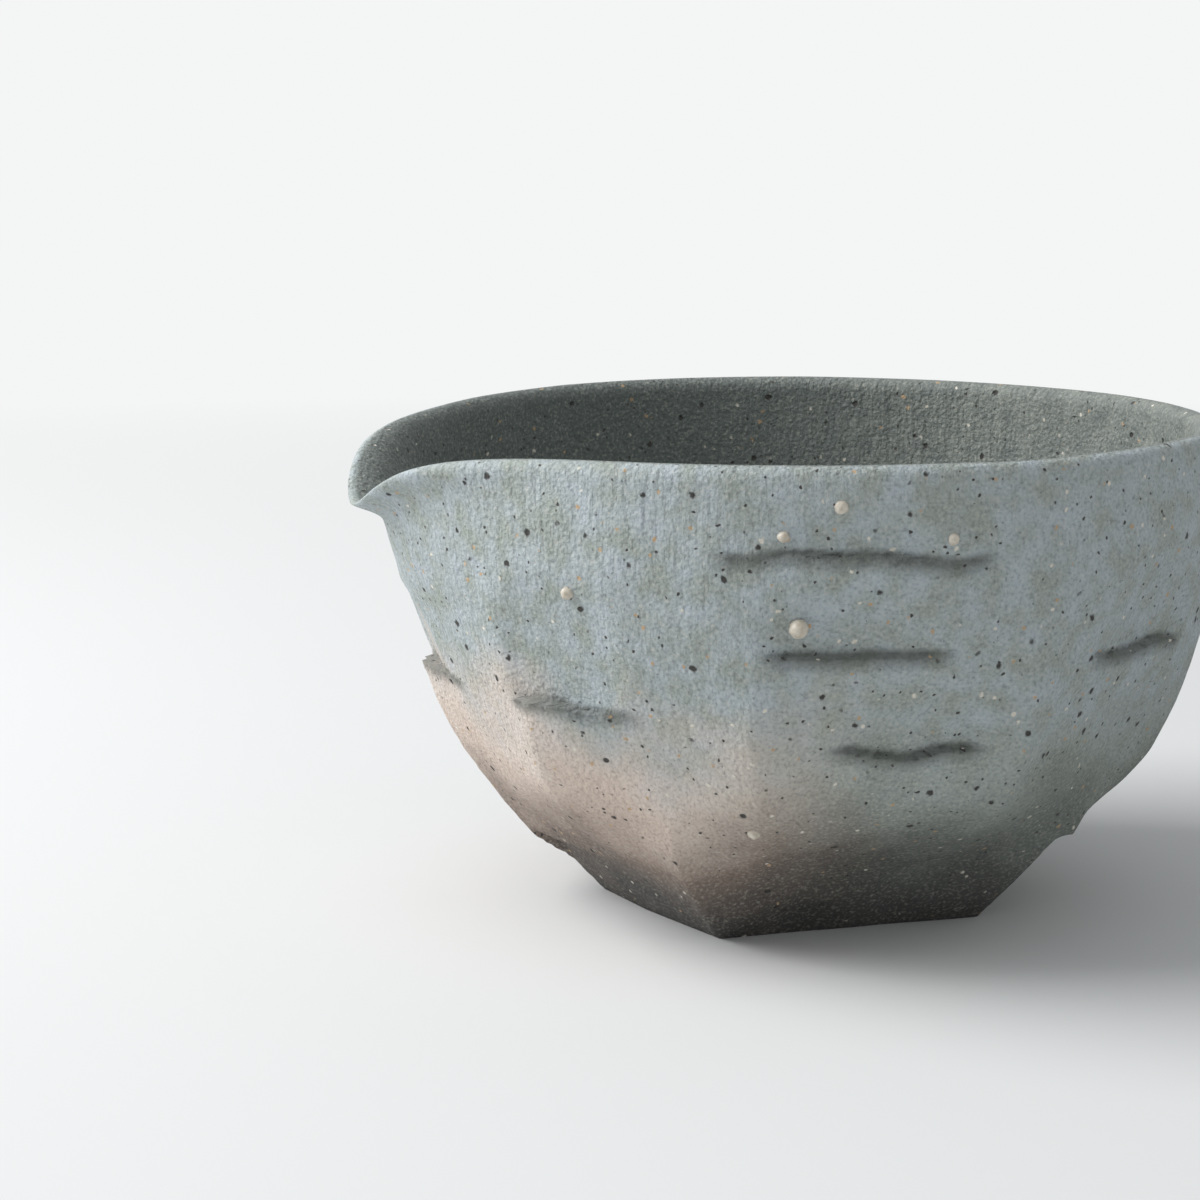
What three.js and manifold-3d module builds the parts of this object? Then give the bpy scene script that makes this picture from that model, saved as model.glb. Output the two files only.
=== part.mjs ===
// A lipped sake bowl (katakuchi): a thrown stoneware bowl whose outside was carved with a knife
// and whose rim was pulled out into one pouring spout. Millimetres, +Z up, the origin at the
// middle of the flat base, the spout towards -X.
import * as THREE from "three";
import { mergeVertices } from "three/addons/utils/BufferGeometryUtils.js";
import Module from "manifold-3d";

const wasm = await Module();
wasm.setup();

// Driving dimensions of the bowl
const rimRadius = 62;
const bowlHeight = 74;
const baseRadius = 31; // to the corners of the carved base
const floorThickness = 7;
const wallAtRim = 4;
const lipBevelHeight = 2.2;
const lipBevelDepth = 0.9;
const lipCrownRise = 0.4;

// The outside flares as a cubic, the inside is a fuller round
const outerFlarePower = 3;
const innerFlarePower = 3;
const innerFullness = 0.6;

// The spout, measured where the rim was pulled
const spoutBearing = 180;
const spoutReach = 8;
const spoutDrop = 11;
const spoutHalfWidth = 42; // degrees, where the pull begins
const notchHalfWidth = 12; // degrees, where the dip is at half its depth
const spoutDropDepth = 35; // below this distance from the rim the wall is undisturbed
const spoutShoulderShare = 0.35; // share of the reach that the wall below the lip takes
const spoutShoulderDepth = 30;
const spoutLipDepth = 4;
const spoutChannelDepth = 9;

// Bearings in degrees of the edges between the knife's facets, in two tiers
const lowerEdges = [10, 65, 120, 170, 230, 315];
const upperEdges = [15, 55, 95, 135, 170, 210, 245, 285, 330];
const tierBlendStart = 8;
const tierBlendEnd = 26;
const facetFadeStart = 26;
const facetFadeEnd = 62;

// Knife strokes that stop short and leave a ledge below them; ledges are measured down from the rim
const strokeDepth = 1.5;
const knifeThickness = 12;
const strokes = [
  { bearing: 258, below: 12.5, height: 8, width: 40 },
  { bearing: 259, below: 26, height: 11, width: 28 },
  { bearing: 267, below: 40.5, height: 11, width: 24 },
  { bearing: 307, below: 29, height: 16, width: 28 },
  { bearing: 217, below: 36, height: 20, width: 24 },
  { bearing: 176, below: 37, height: 13, width: 26 },
  { bearing: 35, below: 32, height: 16, width: 28 },
  { bearing: 76, below: 44, height: 18, width: 28 },
  { bearing: 116, below: 29, height: 14, width: 26 },
];

// Cuts that rise from the base and stop under the proud clay
const footCuts = [
  { bearing: 338, top: 14, depth: 2.4, width: 44 },
  { bearing: 194, top: 10, depth: 1.4, width: 34 },
  { bearing: 85, top: 15, depth: 1.8, width: 40 },
];

// Feldspar stones that fired proud of the wall: bearing, distance below the rim, and radius
const stoneClearance = 0.3;
const stoneSink = 0.35; // share of its radius that a stone's centre lies inside the wall
const stones = [
  { bearing: 251, below: 22, radius: 1.3 },
  { bearing: 256, below: 5.5, radius: 1.0 },
  { bearing: 270, below: 10, radius: 0.9 },
  { bearing: 220, below: 19, radius: 0.9 },
  { bearing: 249, below: 9.5, radius: 0.8 },
  { bearing: 244, below: 53, radius: 0.9 },
  { bearing: 40, below: 14, radius: 1.1 },
  { bearing: 100, below: 36, radius: 1.2 },
  { bearing: 340, below: 26, radius: 1.0 },
];

// Resolution
const turnSegments = 72;
const outerRows = 13;
const innerRows = 11;
const innerRowCrowding = 1.5; // more rows near the floor, where the inside bends most
const stoneDetail = 1;

const radians = THREE.MathUtils.degToRad;
const smooth = THREE.MathUtils.smoothstep;
const lerp = THREE.MathUtils.lerp;

function outerRadius(z) {
  const up = z / bowlHeight;
  return baseRadius + (rimRadius - baseRadius) * (1 - (1 - up) ** outerFlarePower);
}

function innerRadius(z) {
  const up = Math.max(0, (z - floorThickness) / (bowlHeight - floorThickness));
  return (rimRadius - wallAtRim) * (1 - (1 - up) ** innerFlarePower) ** innerFullness;
}

// A polygon's radius at a bearing, as a share of the radius to its corners
function polygonShare(bearing, edges) {
  const turned = (bearing + 360) % 360;
  let before = edges[edges.length - 1] - 360;
  for (const edge of [...edges, edges[0] + 360]) {
    if (turned <= edge) {
      const half = (edge - before) / 2;
      return Math.cos(radians(half)) / Math.cos(radians(turned - before - half));
    }
    before = edge;
  }
  return 1;
}

function facetShare(bearing, z) {
  const tier = smooth(z, tierBlendStart, tierBlendEnd);
  const lower = polygonShare(bearing, lowerEdges);
  const upper = polygonShare(bearing, upperEdges);
  return lerp(lerp(lower, upper, tier), 1, smooth(z, facetFadeStart, facetFadeEnd));
}

// How far the pulled rim moves a point out and down
function spoutPull(bearing, z, outside) {
  const off = Math.abs(((bearing - spoutBearing + 540) % 360) - 180);
  const below = Math.max(0, bowlHeight - z);
  const spread = off < spoutHalfWidth ? Math.cos((Math.PI / 2) * (off / spoutHalfWidth)) ** 2 : 0;
  const shoulder = spoutShoulderShare * (1 - smooth(below, 0, spoutShoulderDepth));
  const lip = (1 - spoutShoulderShare) * Math.exp(-((below / spoutLipDepth) ** 2));
  const depth = outside ? shoulder + lip : Math.exp(-below / spoutChannelDepth);
  const notch = 1 / (1 + (off / notchHalfWidth) ** 2);
  const fall = Math.max(0, 1 - below / spoutDropDepth) ** 2;
  return { out: spoutReach * spread * depth, down: spoutDrop * notch * fall };
}

// The section of the bowl from the middle of its base, up the outside, over the lip and down inside
function bowlSection() {
  const outside = [];
  const lipFoot = bowlHeight - lipBevelHeight;
  for (let row = 0; row <= outerRows; row += 1) {
    const z = (lipFoot * row) / outerRows;
    outside.push(new THREE.Vector2(outerRadius(z), z));
  }
  outside.push(new THREE.Vector2(rimRadius - lipBevelDepth, bowlHeight - lipCrownRise));
  const inside = [new THREE.Vector2(rimRadius - wallAtRim / 2, bowlHeight)];
  for (let row = innerRows; row >= 1; row -= 1) {
    const z = floorThickness + (lipFoot - floorThickness) * (row / innerRows) ** innerRowCrowding;
    inside.push(new THREE.Vector2(innerRadius(z), z));
  }
  const start = new THREE.Vector2(0, 0);
  const end = new THREE.Vector2(0, floorThickness);
  return { points: [start, ...outside, ...inside, end], outsideCount: outside.length + 1 };
}

function solidFrom(geometry) {
  const bare = geometry.clone();
  bare.deleteAttribute("normal");
  bare.deleteAttribute("uv");
  const merged = mergeVertices(bare, 1e-3);
  const corners = [];
  for (let i = 0; i < merged.index.count; i += 3) {
    const [a, b, c] = [merged.index.getX(i), merged.index.getX(i + 1), merged.index.getX(i + 2)];
    if (a !== b && b !== c && c !== a) {
      corners.push(a, b, c);
    }
  }
  const mesh = new wasm.Mesh({
    numProp: 3,
    vertProperties: new Float32Array(merged.attributes.position.array),
    triVerts: new Uint32Array(corners),
  });
  return new wasm.Manifold(mesh);
}

function geometryFrom(solid) {
  const mesh = solid.getMesh();
  const geometry = new THREE.BufferGeometry();
  geometry.setAttribute("position", new THREE.BufferAttribute(mesh.vertProperties, 3));
  geometry.setIndex(new THREE.BufferAttribute(mesh.triVerts, 1));
  geometry.computeVertexNormals();
  return geometry;
}

function thrownBowl() {
  const section = bowlSection();
  const geometry = new THREE.LatheGeometry(section.points, turnSegments);
  geometry.rotateX(Math.PI / 2);
  const position = geometry.attributes.position;
  for (let i = 0; i < position.count; i += 1) {
    const outside = i % section.points.length < section.outsideCount;
    const [x, y, z] = [position.getX(i), position.getY(i), position.getZ(i)];
    const radius = Math.hypot(x, y);
    const bearing = THREE.MathUtils.radToDeg(Math.atan2(y, x));
    const carved = outside ? radius * facetShare(bearing, z) : radius;
    const pull = spoutPull(bearing, z, outside);
    const grown = radius > 0 ? (carved + pull.out) / radius : 1;
    position.setXYZ(i, x * grown, y * grown, z - (radius > 0 ? pull.down : 0));
  }
  return solidFrom(geometry);
}

function wallRadius(bearing, z) {
  return outerRadius(z) * facetShare(bearing, z);
}

// A knife laid from one height on the wall to a higher one, biting to its own depth at each end
function knife(bearing, width, low, high) {
  const foot = wallRadius(bearing, low.z) - low.depth;
  const head = wallRadius(bearing, high.z) - high.depth;
  const length = high.z - low.z;
  const blade = new THREE.BoxGeometry(knifeThickness, width, length);
  blade.translate(knifeThickness / 2, 0, length / 2);
  blade.rotateY(Math.atan((head - foot) / length));
  blade.translate(foot, 0, low.z);
  blade.rotateZ(radians(bearing));
  return solidFrom(blade);
}

// It enters at the top of a stroke, bites deeper on its way down and stops at the ledge
function ledgeKnife(stroke) {
  const ledge = bowlHeight - stroke.below;
  const entry = ledge + stroke.height;
  return knife(stroke.bearing, stroke.width, { z: ledge, depth: strokeDepth }, { z: entry, depth: 0 });
}

function footKnife(cut) {
  return knife(cut.bearing, cut.width, { z: 0, depth: 0 }, { z: cut.top, depth: cut.depth });
}

function stoneGeometry(stone, extra) {
  const height = bowlHeight - stone.below;
  const geometry = new THREE.IcosahedronGeometry(stone.radius + extra, stoneDetail);
  geometry.translate(wallRadius(stone.bearing, height) - stone.radius * stoneSink, 0, height);
  geometry.rotateZ(radians(stone.bearing));
  return geometry;
}

let bowl = thrownBowl();
for (const blade of [...strokes.map(ledgeKnife), ...footCuts.map(footKnife)]) {
  bowl = bowl.subtract(blade);
}
for (const stone of stones) {
  bowl = bowl.subtract(solidFrom(stoneGeometry(stone, stoneClearance)));
}

const clay = new THREE.MeshStandardMaterial({ color: 0x8f9698, roughness: 0.8, metalness: 0 });
const feldspar = new THREE.MeshStandardMaterial({ color: 0xe6ddc8, roughness: 0.45, metalness: 0 });

const group = new THREE.Group();
const bowlMesh = new THREE.Mesh(geometryFrom(bowl), clay);
bowlMesh.name = "carved_clay_body";
group.add(bowlMesh);
stones.forEach((stone, index) => {
  const mesh = new THREE.Mesh(geometryFrom(solidFrom(stoneGeometry(stone, 0))), feldspar);
  mesh.name = `feldspar_stone_${index + 1}`;
  group.add(mesh);
});

export default group;
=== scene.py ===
import bpy
import bmesh
from math import atan2, cos, degrees, exp, hypot, pi, radians, sin
from mathutils import Matrix, Vector, noise


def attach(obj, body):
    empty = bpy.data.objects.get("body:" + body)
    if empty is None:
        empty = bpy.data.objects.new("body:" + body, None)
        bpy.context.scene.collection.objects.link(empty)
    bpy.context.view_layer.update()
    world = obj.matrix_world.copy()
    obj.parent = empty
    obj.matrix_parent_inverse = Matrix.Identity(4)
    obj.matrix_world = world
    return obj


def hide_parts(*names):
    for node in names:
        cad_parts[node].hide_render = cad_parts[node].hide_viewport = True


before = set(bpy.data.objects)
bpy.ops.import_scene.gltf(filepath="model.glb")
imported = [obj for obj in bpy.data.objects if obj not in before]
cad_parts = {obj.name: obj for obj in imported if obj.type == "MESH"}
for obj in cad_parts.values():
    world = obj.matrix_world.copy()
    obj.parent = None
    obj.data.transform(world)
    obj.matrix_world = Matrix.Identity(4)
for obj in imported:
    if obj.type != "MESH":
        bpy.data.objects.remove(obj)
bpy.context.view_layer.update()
mm = 0.001
joinDistance = 1e-3  # points nearer than this, in millimetres, are one

# the thrown bowl, in millimetres and degrees, with the same sizes as the solid it stands for
bowl = {
    "rimRadius": 62.0,
    "height": 74.0,
    "baseRadius": 31.0,
    "floorThickness": 7.0,
    "wallAtRim": 4.0,
    "lipHeight": 2.2,
    "lipSteps": 8,
    "lipFullness": 0.8,
    "flarePower": 3,       # both sides of the wall flare as a cubic
    "innerFullness": 0.6,  # and the inside is a fuller round
    "baseRings": [0, 10, 20, 27],
    "turnSteps": 400,
    "outerRows": 140,
    "innerRows": 70,
    "innerCrowding": 1.5,  # more rows near the floor, where the inside bends most
    "lowerEdges": [10, 65, 120, 170, 230, 315],
    "upperEdges": [15, 55, 95, 135, 170, 210, 245, 285, 330],
    "tierBlend": (8, 26),
    "facetFade": (26, 62),
}

# the unevenness of hand work: how far in millimetres or degrees, and how many waves to a millimetre
handWork = {
    "facetWander": 2.0, "facetWanderWaves": 0.06,
    "ripple": 0.3, "rippleWaves": 0.11,
    "drag": 0.09, "dragWaves": (0.9, 0.9, 0.16),
    "tearWaves": 1.3,
    "throwingRing": 0.07, "throwingPitch": 3.2,
    "innerRipple": 0.12, "innerRippleWaves": 0.15,
    "rimDip": 0.35, "rimDipWaves": 0.03, "rimDipDepth": 12,
    "steadyBase": 3,                      # the relief dies away this near the base
    "steadyRim": 4, "rimSteadiness": 0.7,  # and by this share, this near the rim
}

spout = {
    "bearing": 180,
    "reach": 8.0,
    "drop": 11.0,
    "halfWidth": 42,     # degrees, where the pull begins
    "notchWidth": 12,    # degrees, where the dip is at half its depth
    "dropDepth": 35,     # below this distance from the rim the wall isn't pulled down
    "shoulderShare": 0.35,
    "shoulderDepth": 30,
    "lipDepth": 4,
    "channelDepth": 9,
}

# knife strokes that stop short: the clay below each stands proud, torn, and each ledge is painted with shade
carving = {
    "depth": 1.5,
    "ledgeWander": 1.1,
    "ledgeWaves": 0.12,
    "strokeEnds": (-1, 4),  # a stroke runs out over these millimetres at each side
    "tornHeight": 2.8,      # torn clay below a ledge, also painted with shade
    "tornAbove": 1.4,       # and on the step itself
    "tornRelief": 0.85,
    "facing": 0.6,          # cosine of the turn past which a cut is too far round to matter
    "strokes": [  # bearing, ledge's distance below the rim, stroke height, width
        (258, 12.5, 8, 40), (259, 26, 11, 28), (267, 40.5, 11, 24), (307, 29, 16, 28), (217, 36, 20, 24),
        (176, 37, 13, 26), (35, 32, 16, 28), (76, 44, 18, 28), (116, 29, 14, 26),
    ],
    "footCuts": [  # bearing, top, depth, width
        (338, 14, 2.4, 44), (194, 10, 1.4, 34), (85, 15, 1.8, 40),
    ],
}


def ease(value, low, high):
    t = min(1.0, max(0.0, (value - low) / (high - low)))
    return t * t * (3 - 2 * t)


def mix(a, b, t):
    return a + (b - a) * t


def outerRadius(z):
    up = min(1.0, max(0.0, z / bowl["height"]))
    flare = 1 - (1 - up) ** bowl["flarePower"]
    return bowl["baseRadius"] + (bowl["rimRadius"] - bowl["baseRadius"]) * flare


def innerRadius(z):
    up = min(1.0, max(0.0, (z - bowl["floorThickness"]) / (bowl["height"] - bowl["floorThickness"])))
    flare = 1 - (1 - up) ** bowl["flarePower"]
    return (bowl["rimRadius"] - bowl["wallAtRim"]) * flare ** bowl["innerFullness"]


# a polygon's radius at a bearing, as a share of the radius to its corners
def polygonShare(bearing, edges):
    turned = bearing % 360
    before = edges[-1] - 360
    for edge in edges + [edges[0] + 360]:
        if turned <= edge:
            half = (edge - before) / 2
            return cos(radians(half)) / cos(radians(turned - before - half))
        before = edge
    return 1


def facetShare(bearing, z):
    lower = polygonShare(bearing, bowl["lowerEdges"])
    upper = polygonShare(bearing, bowl["upperEdges"])
    carved = mix(lower, upper, ease(z, *bowl["tierBlend"]))
    return mix(carved, 1, ease(z, *bowl["facetFade"]))


def wallRadius(bearing, z):
    return outerRadius(z) * facetShare(bearing, z)


# how far the pulled rim moves a point out and down
def spoutPull(bearing, z, outside):
    off = abs((bearing - spout["bearing"] + 540) % 360 - 180)
    below = max(0.0, bowl["height"] - z)
    spread = cos(pi / 2 * off / spout["halfWidth"]) ** 2 if off < spout["halfWidth"] else 0
    shoulder = spout["shoulderShare"] * (1 - ease(below, 0, spout["shoulderDepth"]))
    lip = (1 - spout["shoulderShare"]) * exp(-(below / spout["lipDepth"]) ** 2)
    depth = shoulder + lip if outside else exp(-below / spout["channelDepth"])
    notch = 1 / (1 + (off / spout["notchWidth"]) ** 2)
    fall = max(0.0, 1 - below / spout["dropDepth"]) ** 2
    return spout["reach"] * spread * depth, spout["drop"] * notch * fall


# the knife's flat side, from one height on the wall to a higher one, biting deeper at one end
def bladeReach(bearing, lowZ, lowDepth, highZ, highDepth, z):
    low = wallRadius(bearing, lowZ) - lowDepth
    high = wallRadius(bearing, highZ) - highDepth
    return low + (z - lowZ) * (high - low) / (highZ - lowZ)


# how deep the knife went here, and how torn the clay is beside its ledge, which also sets how much painted
# shade it gets
def knifeCut(bearing, z, radius):
    tornAndShaded = 0
    for cutBearing, below, height, width in carving["strokes"]:
        turn = radians(bearing - cutBearing)
        if cos(turn) < carving["facing"]:
            continue
        ledge = bowl["height"] - below
        across = radius * sin(turn)
        wander = noise.noise((across * carving["ledgeWaves"], cutBearing, ledge)) * carving["ledgeWander"]
        above = z - ledge - wander
        edge = ease(width / 2 - abs(across), *carving["strokeEnds"])
        if edge > 0 and -carving["tornHeight"] < above <= 0:
            tornAndShaded = max(tornAndShaded, edge * (1 + above / carving["tornHeight"]))
        if edge > 0 and 0 < above < height:
            reach = bladeReach(cutBearing, ledge, carving["depth"], ledge + height, 0, z) / cos(turn)
            radius = min(radius, mix(radius, reach, edge))
            tornAndShaded = max(tornAndShaded, edge * (1 - ease(above, 0, carving["tornAbove"])))
    for cutBearing, top, depth, width in carving["footCuts"]:
        turn = radians(bearing - cutBearing)
        across = radius * sin(turn)
        if cos(turn) > carving["facing"] and abs(across) < width / 2 and z < top:
            radius = min(radius, bladeReach(cutBearing, 0, 0, top, depth, z) / cos(turn))
    return radius, tornAndShaded


def clayRelief(point, tornAndShaded):
    slow = noise.noise(point * handWork["rippleWaves"]) * handWork["ripple"]
    drag = noise.noise(point * Vector(handWork["dragWaves"])) * handWork["drag"]
    tear = noise.noise(point * handWork["tearWaves"]) * carving["tornRelief"] * tornAndShaded
    return slow + drag + tear


# the bowl's section: across the base, up the outside, over the round lip and down the inside
def bowlProfile():
    lipFoot = bowl["height"] - bowl["lipHeight"]
    halfWall = bowl["wallAtRim"] / 2
    wellDepth = lipFoot - bowl["floorThickness"]
    points = [(ring, 0) for ring in bowl["baseRings"]]
    for row in range(bowl["outerRows"] + 1):
        z = lipFoot * row / bowl["outerRows"]
        points.append((outerRadius(z), z))
    for step in range(1, bowl["lipSteps"]):
        angle = pi * step / bowl["lipSteps"]
        rise = sin(angle) ** bowl["lipFullness"] * bowl["lipHeight"]
        points.append((bowl["rimRadius"] - halfWall + cos(angle) * halfWall, lipFoot + rise))
    for row in range(bowl["innerRows"], 0, -1):
        z = bowl["floorThickness"] + wellDepth * (row / bowl["innerRows"]) ** bowl["innerCrowding"]
        points.append((innerRadius(z), z))
    points.append((0, bowl["floorThickness"]))
    return points


def finishMesh(bm, name):
    mesh = bpy.data.meshes.new(name)
    bm.to_mesh(mesh)
    bm.free()
    piece = bpy.data.objects.new(name, mesh)
    bpy.context.collection.objects.link(piece)
    return piece


# brings a piece from millimetres to metres and smooths its shading
def finishClay(bm, name):
    bmesh.ops.scale(bm, vec=(mm, mm, mm), verts=bm.verts)
    for face in bm.faces:
        face.smooth = True
    return finishMesh(bm, name)


# the carved outside, and how torn the clay is there, which also sets the painted shade
def outsideRadius(point, radius, bearing):
    shift = noise.noise(point * handWork["facetWanderWaves"]) * handWork["facetWander"]
    carved, tornAndShaded = knifeCut(bearing, point.z, radius * facetShare(bearing + shift, point.z))
    atBase = ease(point.z, -1, handWork["steadyBase"])
    atRim = ease(point.z, bowl["height"] - handWork["steadyRim"], bowl["height"])
    keep = atBase * (1 - handWork["rimSteadiness"] * atRim)
    return carved + clayRelief(point, tornAndShaded) * keep, tornAndShaded


# the thrown inside keeps the spiral of the fingers
def insideRadius(point, radius, bearing):
    ring = sin(point.z * 2 * pi / handWork["throwingPitch"] + radians(bearing)) * handWork["throwingRing"]
    return radius + ring + noise.noise(point * handWork["innerRippleWaves"]) * handWork["innerRipple"]


def rimDip(point):
    nearRim = ease(point.z, bowl["height"] - handWork["rimDipDepth"], bowl["height"])
    wave = noise.noise(Vector((point.x, point.y, 0)) * handWork["rimDipWaves"]) * handWork["rimDip"]
    return min(0.0, wave * nearRim)


def makeBowl():
    bm = bmesh.new()
    verts = [bm.verts.new((r, 0, z)) for r, z in bowlProfile()]
    edges = [bm.edges.new(pair) for pair in zip(verts, verts[1:])]
    bmesh.ops.spin(bm, geom=verts + edges, cent=(0, 0, 0), axis=(0, 0, 1), dvec=(0, 0, 0), angle=2 * pi,
                   steps=bowl["turnSteps"], use_merge=True, use_duplicate=False)
    bmesh.ops.remove_doubles(bm, verts=bm.verts, dist=joinDistance)
    bmesh.ops.recalc_face_normals(bm, faces=bm.faces)
    tornShadeLayer = bm.verts.layers.float.new("tornAndShaded")
    insideLayer = bm.verts.layers.float.new("inside")
    for vert in bm.verts:
        point = vert.co.copy()
        radius = hypot(point.x, point.y)
        bearing = degrees(atan2(point.y, point.x))
        midWall = (outerRadius(point.z) + innerRadius(point.z)) / 2
        outside = point.z < bowl["floorThickness"] / 2 or radius > midWall
        vert[insideLayer] = 0 if outside else 1
        if radius < joinDistance:  # the two poles stay where they are
            continue
        if outside:
            shaped, vert[tornShadeLayer] = outsideRadius(point, radius, bearing)
        else:
            shaped = insideRadius(point, radius, bearing)
        out, down = spoutPull(bearing, point.z, outside)
        grown = (shaped + out) / radius
        vert.co = (point.x * grown, point.y * grown, point.z - down + rimDip(point))
    return finishClay(bm, "carved_clay_skin")


stones = {
    "sink": 0.35,    # share of its radius that a stone's centre lies inside the wall
    "relief": 0.12,
    "waves": 1.6,
    "seedStep": 7,   # so that no two stones have the same form
    "list": [  # bearing, distance below the rim, radius
        (251, 22, 1.3), (256, 5.5, 1.0), (270, 10, 0.9), (220, 19, 0.9), (249, 9.5, 0.8),
        (244, 53, 0.9), (40, 14, 1.1), (100, 36, 1.2), (340, 26, 1.0),
    ],
}


def makeStone(index, bearing, below, radius):
    height = bowl["height"] - below
    bm = bmesh.new()
    bmesh.ops.create_icosphere(bm, subdivisions=3, radius=radius)
    seed = Vector((index * stones["seedStep"], 0, 0))
    for vert in bm.verts:
        swell = noise.noise(vert.co * stones["waves"] + seed) * stones["relief"]
        vert.co += vert.co.normalized() * swell
    reach = wallRadius(bearing, height) - radius * stones["sink"]
    bmesh.ops.translate(bm, vec=(reach, 0, height), verts=bm.verts)
    bmesh.ops.rotate(bm, cent=(0, 0, 0), matrix=Matrix.Rotation(radians(bearing), 3, "Z"), verts=bm.verts)
    return finishClay(bm, f"feldspar_grain_{index}")


# an sRGB hex colour as the linear values that a shader reads
def linear(hexColour):
    parts = [int(hexColour[i:i + 2], 16) / 255 for i in (1, 3, 5)]
    return [p / 12.92 if p <= 0.04045 else ((p + 0.055) / 1.055) ** 2.4 for p in parts] + [1]


# adds one node: its inputs are values or other nodes' outputs, and one of its own outputs comes back
def addNode(tree, kind, inputs=None, output=0, **settings):
    node = tree.nodes.new(kind)
    for key, value in settings.items():
        setattr(node, key, value)
    for key, value in (inputs or {}).items():
        if isinstance(value, bpy.types.NodeSocket):
            tree.links.new(value, node.inputs[key])
        else:
            node.inputs[key].default_value = value
    return node.outputs[output] if node.outputs else node


asColour = {"data_type": "RGBA", "output": 2}  # settings of a mix of two colours, inputs 6 and 7


def newMaterial(name):
    material = bpy.data.materials.new(name)
    material.use_nodes = True
    material.node_tree.nodes.clear()
    return material, material.node_tree


clayColours = {
    "blueGrey": linear("#a9b3b8"),
    "greenGrey": linear("#99a19b"),
    # painted light: the rose beige is the clay's pink made lighter, for the side that the window light falls
    # on
    "litRoseBeige": linear("#dccabd"),
    "brown": linear("#85756a"),
    "darkGreen": linear("#636762"),
    "charcoal": linear("#403f3d"),
    "inside": linear("#69716e"),
    # painted light: this pale inside colour is laid only where the window light falls inside the bowl
    "insideLitAsh": linear("#8c918b"),
    # painted shade: the dark colour laid along each knife ledge, over the step and the torn clay below it
    "tornAndShaded": linear("#565a54"),
    "darkSpeck": linear("#3a3835"),
    "tanSpeck": linear("#b79c7c"),
    "creamSpeck": linear("#d8d3c6"),
}

# where one colour gives way to the next, in millimetres: along the bowl, or up it with the
# flame's swing added
flameZones = {
    # painted light: towards the spout side, which faces the window light, the wall turns a light rose
    "litSpoutSide": (-8, -34),
    "footSide": (2, -20),
    "charcoal": (17, 33),
    "foot": (30, 48),
    "shelteredAndLit": (44, 60),
}
insideLitSide = (-5, 45)  # and the same along the inside: painted light, lighter on the side that the window light falls on

# sizes in millimetres
clayGrain = {
    "cloud": 22,   # the flame's broad marks
    "swing": 34,   # how far up and down they carry the zones of colour
    "mottle": 4,
    "sand": 0.5,   # sand-sized grains vary the clay everywhere
    "grit": 0.7,
    "warp": 0.9,   # how far a speck is pulled out of round
    "relief": 0.5,
    "drawn": (0.9, 0.9, 0.12),  # waves to a millimetre: the knife drew the grit into upright marks
    "specks": [    # colour, spacing, radius as a part of the spacing, and how few cells hold one
        ("darkSpeck", 1.5, 0.19, 0.4),
        ("tanSpeck", 2.6, 0.15, 0.4),
        ("creamSpeck", 3.0, 0.13, 0.45),
        ("darkSpeck", 4.0, 0.14, 0.6),  # the last ones are pits, and sink into the clay
    ],
}


# the zones of colour that the flame left on the outside, and painted light: the rose side that the window
# light falls on is made lighter
def flameColour(tree, inMm, along, up, mottle):
    cloudWaves = 1 / clayGrain["cloud"]
    cloud = addNode(tree, "ShaderNodeTexNoise", {"Vector": inMm, "Scale": cloudWaves, "Detail": 4})
    swing = addNode(tree, "ShaderNodeMath", {0: cloud, 1: clayGrain["swing"]}, operation="MULTIPLY")
    level = addNode(tree, "ShaderNodeMath", {0: up, 1: swing}, operation="ADD")
    zones = {}
    for name, (low, high) in flameZones.items():
        place = along if name.endswith("Side") else level
        zones[name] = addNode(tree, "ShaderNodeMapRange", {0: place, 1: low, 2: high})
    patches = addNode(tree, "ShaderNodeMapRange", {0: mottle, 1: 0.35, 2: 0.65})
    blueGrey, greenGrey = clayColours["blueGrey"], clayColours["greenGrey"]
    ashen = addNode(tree, "ShaderNodeMix", {0: patches, 6: blueGrey, 7: greenGrey}, **asColour)
    # painted light: this light rose stands for the window light on the spout side as well as the clay's pink
    litRose = clayColours["litRoseBeige"]
    shelteredAndLit = addNode(tree, "ShaderNodeMix", {0: zones["litSpoutSide"], 6: greenGrey, 7: litRose}, **asColour)
    darkGreen, brown = clayColours["darkGreen"], clayColours["brown"]
    foot = addNode(tree, "ShaderNodeMix", {0: zones["footSide"], 6: darkGreen, 7: brown}, **asColour)
    upper = addNode(tree, "ShaderNodeMix", {0: zones["shelteredAndLit"], 6: shelteredAndLit, 7: ashen}, **asColour)
    lower = addNode(tree, "ShaderNodeMix", {0: zones["foot"], 6: foot, 7: upper}, **asColour)
    charcoal = clayColours["charcoal"]
    return addNode(tree, "ShaderNodeMix", {0: zones["charcoal"], 6: charcoal, 7: lower}, **asColour)


# ash patches inside, lightened as painted light on the side away from the spout, which the window light
# falls on
def insideColour(tree, along, mottle):
    low, high = insideLitSide
    side = addNode(tree, "ShaderNodeMapRange", {0: along, 1: low, 2: high})
    patches = addNode(tree, "ShaderNodeMapRange", {0: mottle, 1: 0.3, 2: 0.75})
    # painted light: the pale patches show only on the side that the window light falls on
    litAsh = addNode(tree, "ShaderNodeMath", {0: side, 1: patches}, operation="MULTIPLY")
    bare, ashen = clayColours["inside"], clayColours["insideLitAsh"]
    return addNode(tree, "ShaderNodeMix", {0: litAsh, 6: bare, 7: ashen}, **asColour)


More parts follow.
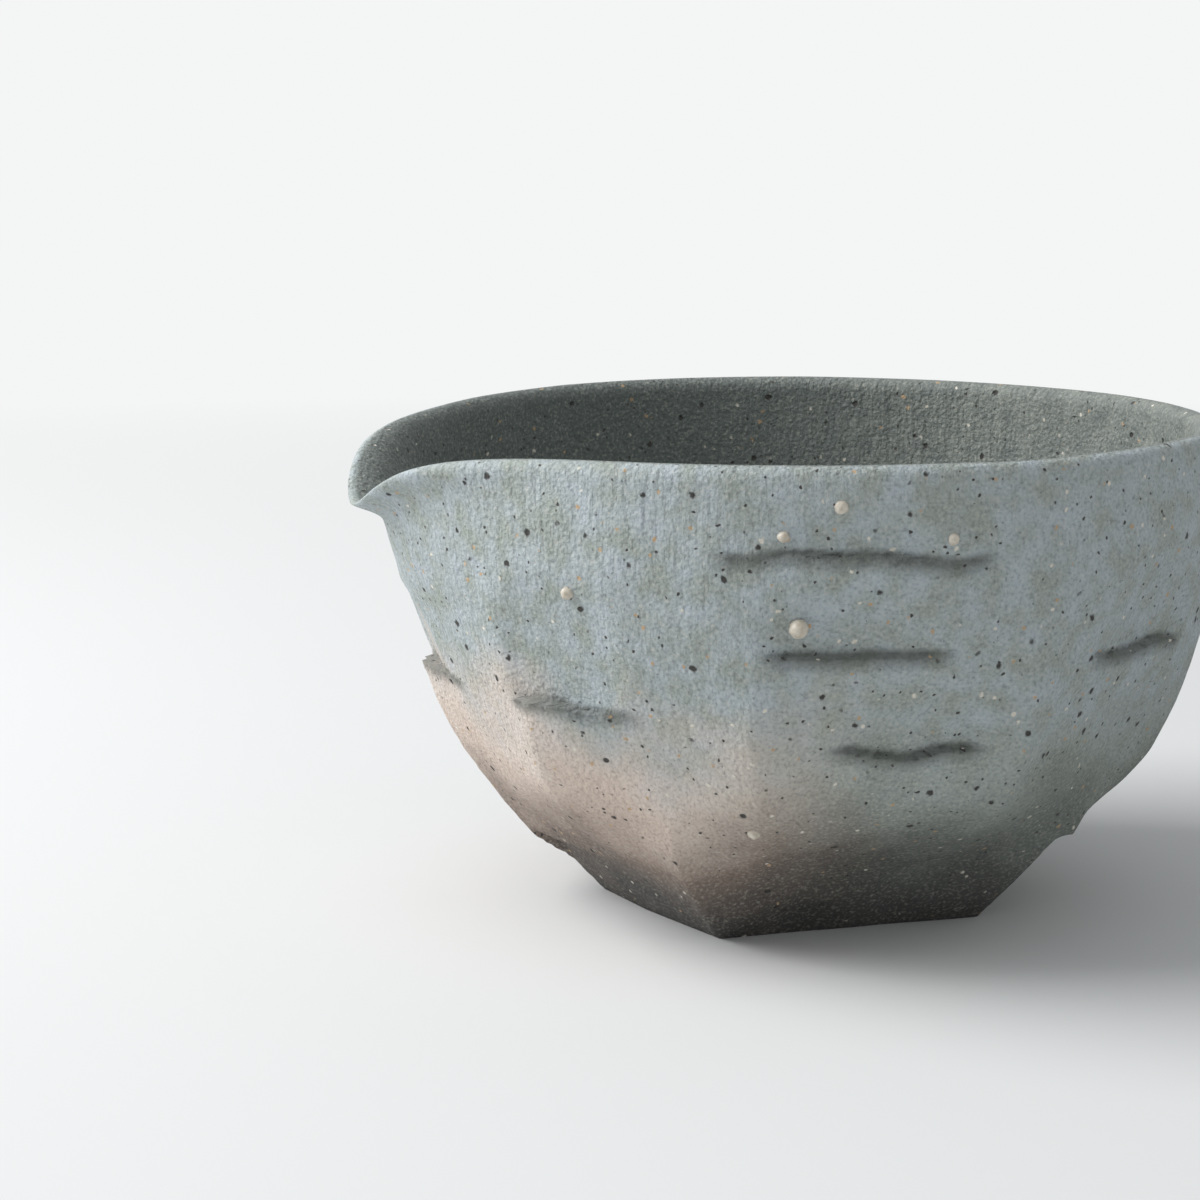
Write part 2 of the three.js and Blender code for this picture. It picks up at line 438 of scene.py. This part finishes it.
# dark and pale sand over the whole clay
def sandColour(tree, inMm, colour):
    sand = addNode(tree, "ShaderNodeTexNoise", {"Vector": inMm, "Scale": 1 / clayGrain["sand"], "Detail": 2})
    for name, low, high, most in (("charcoal", 0.52, 0.75, 0.35), ("creamSpeck", 0.48, 0.25, 0.3)):
        share = addNode(tree, "ShaderNodeMapRange", {0: sand, 1: low, 2: high, 4: most})
        colour = addNode(tree, "ShaderNodeMix", {0: share, 6: colour, 7: clayColours[name]}, **asColour)
    return colour


# specks of each kind, and the pits, which are the last kind
def speckColour(tree, inMm, colour):
    warp = addNode(tree, "ShaderNodeTexNoise", {"Vector": inMm, "Scale": 1.0, "Detail": 2}, output="Color")
    stretch = (clayGrain["warp"],) * 3
    uneven = addNode(tree, "ShaderNodeVectorMath", {0: warp, 1: stretch, 2: inMm}, operation="MULTIPLY_ADD")
    for name, spacing, radius, rarity in clayGrain["specks"]:
        cells = {"Vector": uneven, "Scale": 1 / spacing}
        shade = addNode(tree, "ShaderNodeTexVoronoi", cells, output="Color")
        reach = addNode(tree, "ShaderNodeTexVoronoi", cells, output="Distance")
        chosen = addNode(tree, "ShaderNodeMapRange", {0: shade, 1: rarity, 2: rarity + 0.02, 3: 1.0, 4: 0.0})
        dot = addNode(tree, "ShaderNodeMapRange", {0: reach, 1: radius * 0.6, 2: radius, 3: 1.0, 4: 0.0})
        spot = addNode(tree, "ShaderNodeMath", {0: chosen, 1: dot}, operation="MULTIPLY")
        colour = addNode(tree, "ShaderNodeMix", {0: spot, 6: colour, 7: clayColours[name]}, **asColour)
    return colour, spot


# grit, the knife's upright marks and the pits, as the height that the light catches
def clayBump(tree, inMm, pits):
    grit = addNode(tree, "ShaderNodeTexNoise", {"Vector": inMm, "Scale": 1 / clayGrain["grit"], "Detail": 3})
    drawn = addNode(tree, "ShaderNodeMapping", {"Vector": inMm, "Scale": clayGrain["drawn"]})
    marks = addNode(tree, "ShaderNodeTexNoise", {"Vector": drawn, "Scale": 1.0, "Detail": 3})
    raised = addNode(tree, "ShaderNodeMath", {0: grit, 1: marks}, operation="ADD")
    height = addNode(tree, "ShaderNodeMath", {0: raised, 1: pits}, operation="SUBTRACT")
    depth = clayGrain["relief"] * mm
    return addNode(tree, "ShaderNodeBump", {"Height": height, "Strength": 0.8, "Distance": depth})


# wood-fired stoneware, thrown, knife-carved and left unglazed: a matt, gritty clay whose flame side
# is blue-grey and whose sheltered foot is brown to charcoal
def stoneware():
    material, tree = newMaterial("carved wood-fired stoneware")
    coords = addNode(tree, "ShaderNodeTexCoord", output="Object")
    inMm = addNode(tree, "ShaderNodeMapping", {"Vector": coords, "Scale": (1 / mm,) * 3})
    along = addNode(tree, "ShaderNodeSeparateXYZ", {0: inMm}, output="X")
    up = addNode(tree, "ShaderNodeSeparateXYZ", {0: inMm}, output="Z")
    mottleWaves = 1 / clayGrain["mottle"]
    mottle = addNode(tree, "ShaderNodeTexNoise", {"Vector": inMm, "Scale": mottleWaves, "Detail": 5})
    outer = flameColour(tree, inMm, along, up, mottle)
    inner = insideColour(tree, along, mottle)
    isInside = addNode(tree, "ShaderNodeAttribute", output="Fac", attribute_name="inside")
    colour = addNode(tree, "ShaderNodeMix", {0: isInside, 6: outer, 7: inner}, **asColour)
    colour = sandColour(tree, inMm, colour)
    # painted shade along each knife ledge: the step and the torn strip below it are darkened
    tornShadeMask = addNode(tree, "ShaderNodeAttribute", output="Fac", attribute_name="tornAndShaded")
    share = addNode(tree, "ShaderNodeMapRange", {0: tornShadeMask, 1: 0.1, 2: 0.9, 4: 0.75})
    colour = addNode(tree, "ShaderNodeMix", {0: share, 6: colour, 7: clayColours["tornAndShaded"]}, **asColour)
    colour, pits = speckColour(tree, inMm, colour)
    rough = addNode(tree, "ShaderNodeMapRange", {0: mottle, 1: 0.3, 2: 0.7, 3: 0.62, 4: 0.82})
    clay = {"Base Color": colour, "Roughness": rough, "Normal": clayBump(tree, inMm, pits), "IOR": 1.5}
    shader = addNode(tree, "ShaderNodeBsdfPrincipled", clay)
    addNode(tree, "ShaderNodeOutputMaterial", {0: shader})
    return material


beadLook = {
    "milk": linear("#d6cfc2"),
    "cloud": linear("#bdb3a2"),
    "cloudWaves": 1.2,  # to a millimetre
    "relief": 0.2,      # millimetres
    "roughness": 0.4,
}


# feldspar melted in the firing: a milky, softly shiny bead, clouded a little under a millimetre across
def feldspar():
    material, tree = newMaterial("melted feldspar")
    coords = addNode(tree, "ShaderNodeTexCoord", output="Object")
    cloudWaves = beadLook["cloudWaves"] / mm
    cloud = addNode(tree, "ShaderNodeTexNoise", {"Vector": coords, "Scale": cloudWaves, "Detail": 3})
    share = addNode(tree, "ShaderNodeMapRange", {0: cloud, 1: 0.35, 2: 0.65})
    milky = {0: share, 6: beadLook["milk"], 7: beadLook["cloud"]}
    colour = addNode(tree, "ShaderNodeMix", milky, **asColour)
    depth = beadLook["relief"] * mm
    bump = addNode(tree, "ShaderNodeBump", {"Height": cloud, "Strength": 0.3, "Distance": depth})
    bead = {"Base Color": colour, "Roughness": beadLook["roughness"], "Normal": bump, "IOR": 1.52}
    shader = addNode(tree, "ShaderNodeBsdfPrincipled", bead)
    addNode(tree, "ShaderNodeOutputMaterial", {0: shader})
    return material


# painted board under soft light: it keeps the shadow near the bowl and is plain white further off
def floorBoard():
    material, tree = newMaterial("white painted board")
    coords = addNode(tree, "ShaderNodeTexCoord", output="Object")
    reach = addNode(tree, "ShaderNodeVectorMath", {0: coords}, output="Value", operation="LENGTH")
    far = addNode(tree, "ShaderNodeMapRange", {0: reach, 1: 0.2, 2: 0.75})
    seen = addNode(tree, "ShaderNodeLightPath", output="Is Camera Ray")
    factor = addNode(tree, "ShaderNodeMath", {0: far, 1: seen}, operation="MULTIPLY")
    board = addNode(tree, "ShaderNodeBsdfDiffuse", {"Color": linear("#dedfdf")})
    glow = addNode(tree, "ShaderNodeEmission", {"Color": linear("#f4f5f5"), "Strength": 1.0})
    both = addNode(tree, "ShaderNodeMixShader", {0: factor, 1: board, 2: glow})
    addNode(tree, "ShaderNodeOutputMaterial", {0: both})
    return material


# metres and degrees: the camera stands seven rim radii away and looks a little down into the bowl
studio = {
    "cameraPlace": (-0.13863, -0.41242, 0.12127),
    "cameraPitch": 9.92,
    "cameraTurn": -14.5,
    "lens": 86.43,
    "keyPlace": (-0.85, 0.25, 0.75),
    "keySize": 0.8,
    "keyPower": 15,
    "ambient": 0.53,
    "floorHalf": 12,
}


def makeCamera():
    camera = bpy.data.objects.new("camera", bpy.data.cameras.new("camera"))
    camera.data.lens = studio["lens"]
    camera.data.sensor_width = 36
    camera.data.clip_start = 0.01
    camera.location = studio["cameraPlace"]
    camera.rotation_euler = (radians(90 - studio["cameraPitch"]), 0, radians(studio["cameraTurn"]))
    bpy.context.collection.objects.link(camera)
    bpy.context.scene.camera = camera


def makeWindowLight():
    key = bpy.data.objects.new("window light", bpy.data.lights.new("window light", "AREA"))
    key.data.size = studio["keySize"]
    key.data.energy = studio["keyPower"]
    key.location = studio["keyPlace"]
    key.rotation_euler = (-Vector(studio["keyPlace"])).to_track_quat("-Z", "Y").to_euler()
    bpy.context.collection.objects.link(key)


def makeFloor():
    bm = bmesh.new()
    bmesh.ops.create_grid(bm, x_segments=8, y_segments=8, size=studio["floorHalf"])
    floor = finishMesh(bm, "floor_board")
    floor.data.materials.append(floorBoard())


# the room's soft light, which the camera and reflections see as plain white
def makeRoomLight():
    world = bpy.data.worlds.new("studio")
    world.use_nodes = True
    world.node_tree.nodes.clear()
    tree = world.node_tree
    camera = addNode(tree, "ShaderNodeLightPath", output="Is Camera Ray")
    glossy = addNode(tree, "ShaderNodeLightPath", output="Is Glossy Ray")
    seen = addNode(tree, "ShaderNodeMath", {0: camera, 1: glossy}, operation="MAXIMUM")
    strength = addNode(tree, "ShaderNodeMapRange", {0: seen, 1: 0.0, 2: 1.0, 3: studio["ambient"], 4: 1.0})
    room = {0: seen, 6: linear("#f4f6f8"), 7: linear("#f4f5f5")}
    colour = addNode(tree, "ShaderNodeMix", room, **asColour)
    sky = addNode(tree, "ShaderNodeBackground", {"Color": colour, "Strength": strength})
    addNode(tree, "ShaderNodeOutputWorld", {0: sky})
    bpy.context.scene.world = world
    bpy.context.scene.view_settings.view_transform = "Standard"


makeCamera()
makeWindowLight()
makeFloor()
makeRoomLight()
print("studio ready")

skin = makeBowl()
skin.data.materials.append(stoneware())
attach(skin, "root")
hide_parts("carved_clay_body")
print("bowl skin:", len(skin.data.polygons), "faces")

feldsparMaterial = feldspar()
for number, (bearing, below, radius) in enumerate(stones["list"], start=1):
    grain = makeStone(number, bearing, below, radius)
    grain.data.materials.append(feldsparMaterial)
    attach(grain, "root")
    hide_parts(f"feldspar_stone_{number}")
print("stones set:", len(stones["list"]))
